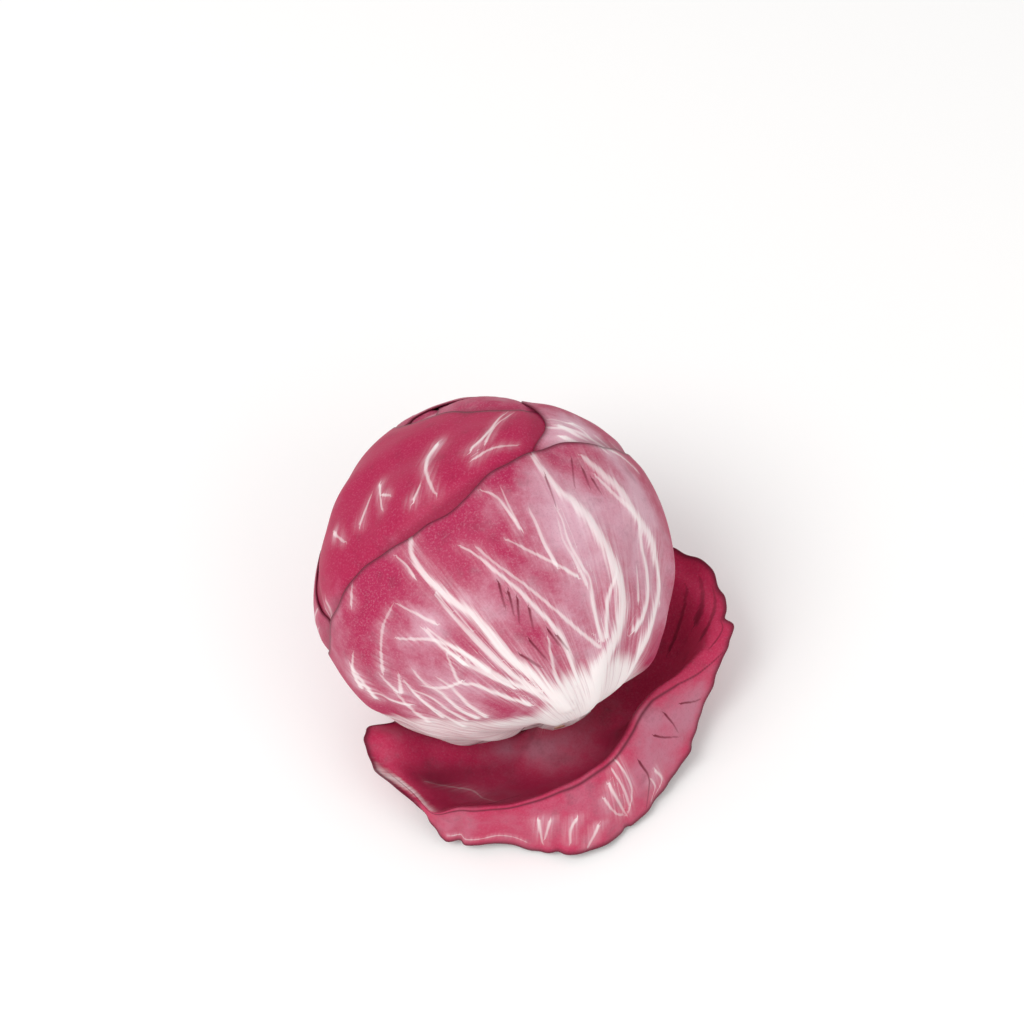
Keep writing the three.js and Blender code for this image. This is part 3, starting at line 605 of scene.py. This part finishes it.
# Colours, from what each surface is
def colour(text):
    """An sRGB hex colour as Blender's linear one."""
    parts = [int(text[n:n + 2], 16) / 255 for n in (1, 3, 5)]
    return [p / 12.92 if p <= 0.04045 else ((p + 0.055) / 1.055) ** 2.4 for p in parts] + [1.0]


# The attributes that a leaf skin reads
MARKS = ["veil", "white", "wash_and_painted_light", "edge", "painted_shade"]
MARKS += [kind + value for kind in ("", "other ", "dark ", "dark other ") for value in ("gap", "strong")]


def leaf_skin(name, crimson, lilac, shade):
    """Radicchio leaf skin: wine-red sap colour in the outer cells over white flesh, so it breaks up into
    mottled washes, and the thick veins, which hold little of it, stay white. A thin wax gives it a soft satin
    gloss."""
    skin = bpy.data.materials.new(name)
    skin.use_nodes = True
    tree = skin.node_tree
    tree.nodes.clear()
    mark = {field: add(tree, "ShaderNodeAttribute", attribute_name=field).outputs["Fac"] for field in MARKS}
    place = add(tree, "ShaderNodeTexCoord").outputs["Object"]
    fan = add(tree, "ShaderNodeUVMap", uv_map="fan")
    stretch = (1 / math.radians(FIBRE_WIDTH), FAN_LENGTH / FIBRE_LENGTH, 1.0)
    along = add(tree, "ShaderNodeMapping", {"Vector": fan, "Scale": stretch})
    mottle, patches, grain, fibres = (
        add(tree, "ShaderNodeTexNoise", {"Vector": over, "Scale": scale, "Detail": detail, "Roughness": rough})
        for over, scale, detail, rough in (
            (place, 1 / (WASH_SIZE * MM), 5.0, 0.6), (place, 1 / (PATCH_SIZE * MM), 4.0, 0.6),
            (place, 1 / (GRAIN_SIZE * MM), 3.0, 0.75), (along, 1.0, 4.0, 0.65)))
    # Lilac washes of the leaf, and on the opened leaf also painted light: a reflection under the head and a lift
    # on its shaded lobe.
    cloudy = add(tree, "ShaderNodeMath", {0: mottle, 1: 2.0, 2: mark["wash_and_painted_light"]}, operation="MULTIPLY_ADD")
    washed = add(tree, "ShaderNodeMath", {0: patches, 1: 0.7, 2: cloudy}, operation="MULTIPLY_ADD")
    paler = add(tree, "ShaderNodeMath", {0: fibres, 1: 0.7, 2: mark["white"]}, operation="MULTIPLY_ADD")

    flesh = add(tree, "ShaderNodeMix", {
        "Factor": add(tree, "ShaderNodeMapRange", {
            "Value": fibres, "From Min": 0.55, "From Max": 0.3, "To Min": 0.0, "To Max": 0.7,
        }, interpolation_type="SMOOTHSTEP"),
        6: colour("#EADFDE"), 7: colour("#CDB3B9"),
    }, data_type="RGBA")

    # Layers over the crimson: colour, the field it follows, where that starts and ends, least and most share,
    # and its mask
    pale, dark, rim = colour("#F0E6E5"), colour("#70122D"), colour("#5E1029")
    layers = [
        (lilac, washed, 1.15, 2.45, 0.0, 1.0, None),
        (shade, patches, 0.52, 0.72, 0.0, 0.3, None),
        (lilac, grain, 0.48, 0.72, 0.0, 0.28, None),
        (shade, grain, 0.5, 0.28, 0.0, 0.22, None),
        (colour("#E6CBD3"), fibres, 0.35, 0.7, 0.2, 0.8, mark["veil"]),
        (flesh, paler, 0.5, 1.3, 0.0, 1.0, None),
    ]
    for kind, stroke in (("", pale), ("other ", pale), ("dark ", dark), ("dark other ", dark)):
        away = add(tree, "ShaderNodeMath", {0: mark[kind + "gap"]}, operation="ABSOLUTE")
        frayed = add(tree, "ShaderNodeMath", {0: fibres, 1: -2.0, 2: away}, operation="MULTIPLY_ADD")
        layers.append((stroke, frayed, 0.2, -0.8, 0.0, 1.0, mark[kind + "strong"]))
    ground = crimson
    for over, value, low, high, least, most, mask in layers:
        share = add(tree, "ShaderNodeMapRange", {
            "Value": value, "From Min": low, "From Max": high, "To Min": least, "To Max": most,
        }, interpolation_type="SMOOTHSTEP")
        if mask is not None:
            share = add(tree, "ShaderNodeMath", {0: share, 1: mask}, operation="MULTIPLY")
        ground = add(tree, "ShaderNodeMix", {"Factor": share, 6: ground, 7: over}, data_type="RGBA")
    # Painted shade: this layer darkens the skin towards the shade colour under covering leaves and in the opened
    # leaf's hollow. The edge layer is the margin's own dark line, and on the opened leaf also painted shade
    # along the fold.
    for over, field, most in ((shade, "painted_shade", 0.85), (rim, "edge", 0.9)):
        share = add(tree, "ShaderNodeMath", {0: mark[field], 1: most}, operation="MULTIPLY")
        ground = add(tree, "ShaderNodeMix", {"Factor": share, 6: ground, 7: over}, data_type="RGBA")

    coarse = add(tree, "ShaderNodeMath", {0: patches, 1: 0.8}, operation="MULTIPLY")
    bumps = add(tree, "ShaderNodeMath", {0: grain, 1: 0.35, 2: coarse}, operation="MULTIPLY_ADD")
    relief = add(tree, "ShaderNodeBump", {"Height": bumps, "Strength": 0.3, "Distance": 0.5 * MM})
    gloss = add(tree, "ShaderNodeMapRange", {
        "Value": grain, "From Min": 0.3, "From Max": 0.7, "To Min": 0.46, "To Max": 0.6,
    }, interpolation_type="SMOOTHSTEP")
    surface = add(tree, "ShaderNodeBsdfPrincipled", {
        "Base Color": ground, "Roughness": gloss, "IOR": 1.42, "Specular IOR Level": 0.38, "Normal": relief,
        "Subsurface Weight": 0.12, "Subsurface Radius": (1.0, 0.35, 0.4), "Subsurface Scale": 1.2 * MM,
    })
    add(tree, "ShaderNodeOutputMaterial", {"Surface": surface})
    return skin


wrapper_skin = leaf_skin("wrapper leaf skin", colour("#A8184C"), colour("#CD9CAC"), colour("#7A1334"))
crimson_skin = leaf_skin("crimson leaf skin", colour("#A80F46"), colour("#C0718B"), colour("#7A0F30"))
heart_skin = leaf_skin("inner leaf skin", colour("#A82652"), colour("#D3A4B2"), colour("#7A1A3A"))
# The opened leaf's crimson is set lighter than the wrapper skin's: partly its own colour, partly painted light
# that lifts the shade in its hollow.
opened_skin = leaf_skin("opened leaf skin", colour("#BC2652"), colour("#B97085"), colour("#741530"))


def stem_finish():
    """The stem is white flesh, cut across: its cut face has browned at the rim and shows the ring of sap
    vessels."""
    finish = bpy.data.materials.new("cut stem")
    finish.use_nodes = True
    tree = finish.node_tree
    tree.nodes.clear()
    place = add(tree, "ShaderNodeTexCoord").outputs["Object"]
    spots = {"Vector": place, "Scale": 1 / (BLOTCH_SIZE * MM), "Detail": 5.0, "Roughness": 0.65}
    blotch = add(tree, "ShaderNodeTexNoise", spots)
    pores = add(tree, "ShaderNodeTexVoronoi", {"Vector": place, "Scale": 1 / (PORE_SIZE * MM)})
    brown = add(tree, "ShaderNodeAttribute", attribute_name="brown").outputs["Fac"]
    amount = add(tree, "ShaderNodeMath", {0: blotch, 1: 0.7, 2: brown}, operation="MULTIPLY_ADD")
    ramp = add(tree, "ShaderNodeValToRGB", {"Fac": amount})
    ramp.color_ramp.elements.new(0.7)
    stops = ((0.3, "#F1E7E2"), (0.7, "#E3CDBD"), (1.0, "#A8765A"))
    for element, (position, shown) in zip(ramp.color_ramp.elements, stops):
        element.position = position
        element.color = colour(shown)
    relief = add(tree, "ShaderNodeBump", {"Height": pores, "Strength": 0.4, "Distance": 0.3 * MM})
    look = {"Base Color": ramp, "Roughness": 0.62, "IOR": 1.4, "Normal": relief}
    surface = add(tree, "ShaderNodeBsdfPrincipled", look)
    add(tree, "ShaderNodeOutputMaterial", {"Surface": surface})
    return finish


# The wrapper leaves
def wrapper_piece(k, rows, columns, skin, veins, streaks=()):
    """One wrapper leaf: a fan of points round its base, laid on the head's outline."""
    leaf = WRAPPERS[k]
    share = np.linspace(0, 1, rows)[:, None] ** 0.92
    angle = np.linspace(-leaf["spread"], leaf["spread"], columns)[None, :]
    ragged = 0.004 * np.sin(23 * angle + leaf["phase"])
    ragged += 0.003 * np.sin(41 * angle + 2 * leaf["phase"]) * np.sin(7 * angle)
    waviness = EDGE_WAVE if k == 0 else 0.012 + 0.009 * np.sin(5 * angle + 2 * leaf["phase"])
    wave = 1 + (waviness * wave_of(leaf, angle) + ragged) * share**3
    distance = reach(leaf, angle) * share * wave
    sideways = STALK_HALF_WIDTH * angle * (1 - share) ** 2 / leaf["spread"]
    x, y = distance * np.sin(angle) + sideways, distance * np.cos(angle)
    directions = direction_of(leaf, x, y)
    inset = np.minimum(reach(leaf, angle) * (1 - share), (leaf["spread"] - np.abs(angle)) * distance)
    margin = 1 - smoothstep(inset, 0, MARGIN_WIDTH)
    shown = 1 - hidden_by(k, directions, 1.0, 8.0)
    depth = depth_of(k, directions)
    limit = table_limit(directions, depth)
    radius = outline_radius(directions) - depth
    free = smoothstep(limit - radius, 0, 2.5)
    drawn, veil, lift = vein_fields(x, y, veins)
    dark = vein_fields(x, y, streaks, "dark ")[0]
    quilt = 0.35 * ripples(directions * MAP_RADIUS, 17, 40 + k) * (1 - veil) * (1 - margin)
    curl = (1.0 if k < 2 else 0.4) * margin * (0.1 + 0.12 * wave_of(leaf, angle) + 0.08 * np.sin(31 * angle))
    blade = mix(BLADE_SHARE * thickness_at(leaf, directions), RIM * np.ones(x.shape), margin)
    radius = radius - (BLADE_SHARE * BLADE - RIM) * margin + (quilt + curl) * shown * free
    points = CENTRE + directions * np.minimum(radius, limit)[..., None]
    fields = drawn | dark | {
        "lift": lift * shown * free * (1 - 0.75 * margin) * smoothstep(distance, 12, 38),
        "blade": blade,
        "veil": veil,
        "white": white_field(np.arctan2(x, y), np.hypot(x, y), leaf["white"]),
        "wash_and_painted_light": wash_field(x, y, leaf["washes"]),
        "edge": np.exp(-((inset / EDGE_LINE) ** 2)),
        # Painted shade: darker where a leaf that lies further out covers this one, just under its margin.
        "painted_shade": 0.5 * hidden_by(k, directions, 0.3, 3.0),
    }
    fan = np.stack([angle + 0 * distance, distance / FAN_LENGTH], -1)
    piece = sheet_object(f"radicchio_wrapper_{k + 1}", points, fields, fan)
    grow_blade(piece, skin, RIB_HEIGHT, 1.0)
    finish_piece(piece, f"wrapper_leaf_{k + 1}")


wrapper_piece(0, 160, 300, wrapper_skin, drawn_veins(FRONT_VEINS), drawn_veins(FRONT_STREAKS))
wrapper_piece(1, 90, 180, wrapper_skin, plain_veins(WRAPPERS[1], 21))
wrapper_piece(2, 110, 200, wrapper_skin, plain_veins(WRAPPERS[2], 22) + drawn_veins(TIP_MARKS))
wrapper_piece(3, 130, 220, crimson_skin, plain_veins(WRAPPERS[3], 23, 0.6) + drawn_veins(CRIMSON_MARKS))
wrapper_piece(4, 90, 180, wrapper_skin, plain_veins(WRAPPERS[4], 24))
wrapper_piece(5, 90, 180, wrapper_skin, plain_veins(WRAPPERS[5], 25))


# The heart: a ball of closed leaves, with the edges of three of them stepping over each other
def heart_piece():
    form = bmesh.new()
    bmesh.ops.create_icosphere(form, subdivisions=6, radius=1.0)
    mesh = bpy.data.meshes.new("radicchio_heart")
    form.to_mesh(mesh)
    form.free()
    directions = np.empty(len(mesh.vertices) * 3)
    mesh.vertices.foreach_get("co", directions)
    directions = unit(directions.reshape(-1, 3))
    depth = depth_of(len(WRAPPERS), directions)
    radius = outline_radius(directions) - depth
    fields = {}
    for n, leaf in reversed(list(enumerate(HEART_LEAVES))):
        x, y = flat_place(leaf, directions)
        angle, distance = np.arctan2(x, y), np.hypot(x, y)
        wave = 1 + EDGE_WAVE * wave_of(leaf, angle)
        over = reach(leaf, angle) * wave - distance
        inside = smoothstep(over, -EDGE_LINE, EDGE_LINE)
        radius -= 0.75 * HEART_LEAF_STEP * (cover(leaf, directions, CLOSE_MARGIN, CLOSE_FADE) - inside)
        drawn, veil, _ = vein_fields(x, y, plain_veins(leaf, 60 + n))
        own = drawn | {
            "veil": veil,
            "white": white_field(angle, distance, leaf["white"]),
            "wash_and_painted_light": wash_field(x, y, leaf["washes"]),
            "edge": np.exp(-((over / EDGE_LINE) ** 2)),
        }
        for name, values in own.items():
            fields[name] = mix(fields.get(name, 9.0 if "gap" in name else 0.0), values, inside)
    fields["white"] = np.maximum(fields["white"], smoothstep(directions @ STEM_AXIS, 0.8, 0.9))
    radius = np.minimum(radius, table_limit(directions, depth))
    points = (CENTRE + directions * radius[:, None]) * MM
    mesh.vertices.foreach_set("co", points.ravel())
    x, y = flat_place(HEART_LEAVES[0], directions)
    mark_mesh(mesh, fields, np.stack([np.arctan2(x, y), np.hypot(x, y) / FAN_LENGTH], -1))
    mesh.polygons.foreach_set("use_smooth", [True] * len(mesh.polygons))
    mesh.materials.append(heart_skin)
    finish_piece(new_object("radicchio_heart", mesh), "heart")


heart_piece()


# The cut stem, turned about the stem axis, with an uneven rim and a cut face that dips in the middle
def stem_piece():
    sides = 72
    # Share of the radius and height: up the side from the inner end, then over the rim and in to the middle
    side = [(0, 0), (0.72, 0), (0.82, 3), (0.94, 6), (1, 9)]
    cut_face = [(1, 2.2), (0.98, 0.9), (0.92, 0.2), (0.86, 0), (0.78, 0.15), (0.66, 0.5), (0.5, 0.35),
                (0.3, 0.8), (0.12, 1.1), (0, 1.2)]
    profile = [(share, STEM_INNER_END + rise) for share, rise in side]
    profile += [(share, STEM_OUTER_END - dip) for share, dip in cut_face]
    form = bmesh.new()
    brown = form.verts.layers.float.new("brown")
    rings = []
    for share, height in profile:
        ring = []
        for n in range(1 if share == 0 else sides):
            turn = 2 * math.pi * n / sides
            wobble = 1 - 0.03 * (1 + math.sin(3 * turn + 1)) - 0.012 * (1 + math.sin(7 * turn))
            across = share * STEM_RADIUS * wobble * (math.cos(turn) * TOP_SIDE + math.sin(turn) * FLANK_SIDE)
            vertex = form.verts.new((CENTRE + height * STEM_AXIS + across) * MM)
            rim_ring = 0.4 * math.exp(-(((share - 0.9) / 0.09) ** 2))
            sap_ring = 0.25 * math.exp(-(((share - 0.58) / 0.08) ** 2))
            vertex[brown] = 0.35 + rim_ring + sap_ring if height > STEM_OUTER_END - 1.3 else 0.0
            ring.append(vertex)
        rings.append(ring)
    for low, high in zip(rings, rings[1:]):
        for n in range(sides):
            after = n + 1
            corners = [low[n % len(low)], low[after % len(low)], high[after % len(high)], high[n % len(high)]]
            form.faces.new(list(dict.fromkeys(corners)))
    bmesh.ops.recalc_face_normals(form, faces=form.faces)
    mesh = bpy.data.meshes.new("radicchio_stem")
    form.to_mesh(mesh)
    form.free()
    mesh.polygons.foreach_set("use_smooth", [True] * len(mesh.polygons))
    mesh.materials.append(stem_finish())
    finish_piece(new_object("radicchio_stem", mesh), "stem_butt")


stem_piece()


# The opened leaf
def ray_values(shares):
    """Heading, crest and edge of the rays at each share of the way round, rounded between the given rays."""
    path = smooth_path(OPEN_RAYS, 24)
    place = shares * (len(path) - 1)
    first = np.clip(place.astype(int), 0, len(path) - 2)
    return (path[first] + (path[first + 1] - path[first]) * (place - first)[:, None]).T


def along_ray(points, t):
    """Centripetal curve through the control points of every ray, at share t of its parts."""
    ends = [2 * points[0] - points[1], *points, 2 * points[-1] - points[-2]]
    place = min(t * (len(points) - 1), len(points) - 1.000001)
    n = int(place)
    u = place - n
    a, b, c, d = ends[n:n + 4]
    first, middle, last = (np.maximum(np.linalg.norm(q - p, axis=-1, keepdims=True) ** 0.5, 1e-4)
                           for p, q in ((a, b), (b, c), (c, d)))
    start = ((b - a) / first - (c - a) / (first + middle) + (c - b) / middle) * middle
    end = ((c - b) / middle - (d - b) / (middle + last) + (d - c) / last) * middle
    return b + start * u + (3 * (c - b) - 2 * start - end) * u**2 + (2 * (b - c) + start + end) * u**3


def opened_form(shares, t):
    """Upper face of the opened leaf: one row of points for each share t of a ray, one column for each ray."""
    course, crest_at, crest_height, edge_at, edge_height = ray_values(shares)
    for place, depth, width in NICKS:
        edge_at = edge_at - depth * np.exp(-(((course - place) / width) ** 2))
    ahead = np.stack([np.cos(np.radians(course)), np.sin(np.radians(course))], -1)
    end = CENTRE + STEM_OUTER_END * STEM_AXIS

    def at(distance, height):
        return np.column_stack([end[:2] + ahead * distance[:, None], height * np.ones(len(shares))])

    round_stem = np.radians(mix(-OPEN_ROOT_ARC, OPEN_ROOT_ARC, shares))[:, None]
    outward = np.sin(round_stem) * FLANK_SIDE - np.cos(round_stem) * TOP_SIDE
    root = CENTRE + OPEN_ROOT_HEIGHT * STEM_AXIS + OPEN_ROOT_RADIUS * outward
    foot = 12 + 0.32 * (crest_at - 22)
    valley = at(foot, 2.0)
    sole = mix(root, valley, 0.45)
    sole[:, 2] = 4.2
    wall = at(mix(foot, crest_at, 0.62), 1.5 + 0.42 * crest_height)
    wave = np.sin(41 * shares) + 0.6 * np.sin(67 * shares + 1)
    frill = 0.5 * np.sin(133 * shares + 2) + 0.35 * np.sin(211 * shares)
    crest = at(crest_at, crest_height)
    brim = at(mix(crest_at, edge_at, 0.6), mix(crest_height, edge_height, 0.42))
    edge = at(edge_at + 0.7 * wave + 0.5 * frill, np.maximum(edge_height + 0.8 * wave + 0.5 * frill, 1.5))
    return np.array([along_ray([root, sole, valley, wall, crest, brim, edge], share) for share in t])


def opened_piece(columns):
    shares = np.linspace(1, 0, columns)
    # The rows lie closest where the brim turns over
    t = np.concatenate([np.linspace(0, 0.6, 38, endpoint=False), np.linspace(0.6, 0.72, 28, endpoint=False),
                        np.linspace(0.72, 1, 54)])
    points = opened_form(shares, t)
    t = t[:, None] * np.ones((1, columns))
    turn = shares[None, :] * np.ones(t.shape)
    borders = (points[:, :1], points[:, -1:], points[-1:])
    inset = np.minimum.reduce([np.linalg.norm(points - border, axis=-1) for border in borders])
    # The leaf's own plane, roughly in millimetres: round the rays on the brim, and from the crest to the edge
    x, y = turn * 190, t * 110
    drawn, veil, lift = vein_fields(x, y, drawn_veins(OPENED_VEINS))
    dark = vein_fields(x, y, drawn_veins(OPENED_STREAKS), "dark ")[0]
    fold = np.interp(x, *zip(*OPENED_FOLD))
    hollow = 1 - smoothstep(y - fold, -6, 0)
    # Painted shade: a thin dark line along the fold, where the brim turns over.
    fold_shade = np.exp(-(((y - fold) / 1.1) ** 2)) * smoothstep(x, 30, 45) * (1 - smoothstep(x, 152, 158))
    lobe = 1 - smoothstep(x, 30, 44)
    shadow = 0.62 * smoothstep(y, 23, 40) * (1 - smoothstep(x, 130, 155)) * smoothstep(x, 30, 48)
    shadow += 0.8 * np.exp(-(((x - 38) / 6) ** 2) - ((y - 60) / 14) ** 2)
    pale_line = np.interp(y, (60, 74, 87, 103), (58, 50, 40, 36))
    pale_side = np.exp(-(((x - pale_line) / 5) ** 2)) * smoothstep(y, 64, 76)
    ripple = 0.35 * ripples(points, 12, 71) * smoothstep(t, 0.3, 0.6)
    points[..., 2] += ripple * smoothstep(points[..., 2], 1.5, 6)
    fields = drawn | dark | {
        "lift": lift * smoothstep(t, 0.1, 0.3),
        "blade": mix(mix(OPEN_STALK, 1.0, smoothstep(t, 0.1, 0.5)), RIM, 1 - smoothstep(inset, 0, 6)),
        "veil": veil,
        "white": 0.7 * pale_side + 0.4 * (1 - smoothstep(t, 0.05, 0.18)),
        "wash_and_painted_light": wash_field(x, y, OPENED_WASHES_AND_PAINTED_LIGHT),
        # The margin's own dark line, and painted shade along the fold.
        "edge": np.maximum(np.exp(-((inset / 1.5) ** 2)), fold_shade),
        # Painted shade: dark in the hollow below the fold, and faintly on the lobe past it.
        "painted_shade": np.clip(shadow * hollow + 0.05 * lobe * (1 - hollow), 0, 1),
    }
    fan = np.stack([turn * 3.0, t * 0.6], -1)
    piece = sheet_object("radicchio_opened_leaf", points, fields, fan)
    grow_blade(piece, opened_skin, RIB_HEIGHT, 1.0)
    finish_piece(piece, "opened_leaf")


opened_piece(300)


# The table, the light and the camera
def paper_table():
    """Matt white paper: it takes a soft shadow and hardly any gloss."""
    finish = bpy.data.materials.new("pale table")
    finish.use_nodes = True
    tree = finish.node_tree
    surface = tree.nodes["Principled BSDF"]
    surface.inputs["Base Color"].default_value = colour("#F6F5F4")
    surface.inputs["Roughness"].default_value = 0.9
    surface.inputs["Specular IOR Level"].default_value = 0.2
    mesh = bpy.data.meshes.new("table_top")
    half, top = 3.0, -0.2 * MM
    corners = [(-half, -half, top), (half, -half, top), (half, half, top), (-half, half, top)]
    mesh.from_pydata(corners, [], [(0, 1, 2, 3)])
    mesh.materials.append(finish)
    floor = new_object("table_top", mesh)


paper_table()


def soft_light(name, place, size, power):
    lamp = bpy.data.lights.new(name, "AREA")
    lamp.shape = "DISK"
    lamp.size = size
    lamp.energy = power
    stand = new_object(name, lamp)
    stand.location = place
    towards = np.array([0, 0, 0.05]) - np.array(place)
    yaw = math.atan2(towards[0], -towards[1])
    tilt = math.acos(-towards[2] / np.linalg.norm(towards))
    stand.rotation_euler = (tilt, 0, yaw + math.pi)


soft_light("window light", (-0.7, -0.5, 1.3), 0.9, 11.0)
soft_light("fill light", (0.9, -0.8, 0.9), 1.2, 3.0)
world = bpy.data.worlds.new("studio")
world.use_nodes = True
backdrop = world.node_tree.nodes["Background"].inputs
backdrop["Color"].default_value = (1, 1, 1, 1)
backdrop["Strength"].default_value = 0.75
bpy.context.scene.world = world
bpy.context.scene.view_settings.view_transform = "Standard"

CAMERA_ELEVATION = 57.0
CAMERA_DISTANCE = 0.79
LENS = 86.1
AIM = (0.00613, 0.01677, 0.0624)
camera = new_object("camera", bpy.data.cameras.new("camera"))
lean = math.radians(CAMERA_ELEVATION)
camera.location = (AIM[0], AIM[1] - CAMERA_DISTANCE * math.cos(lean), AIM[2] + CAMERA_DISTANCE * math.sin(lean))
camera.rotation_euler = (math.pi / 2 - lean, 0, 0)
camera.data.lens = LENS
camera.data.clip_start = 0.05
bpy.context.scene.camera = camera
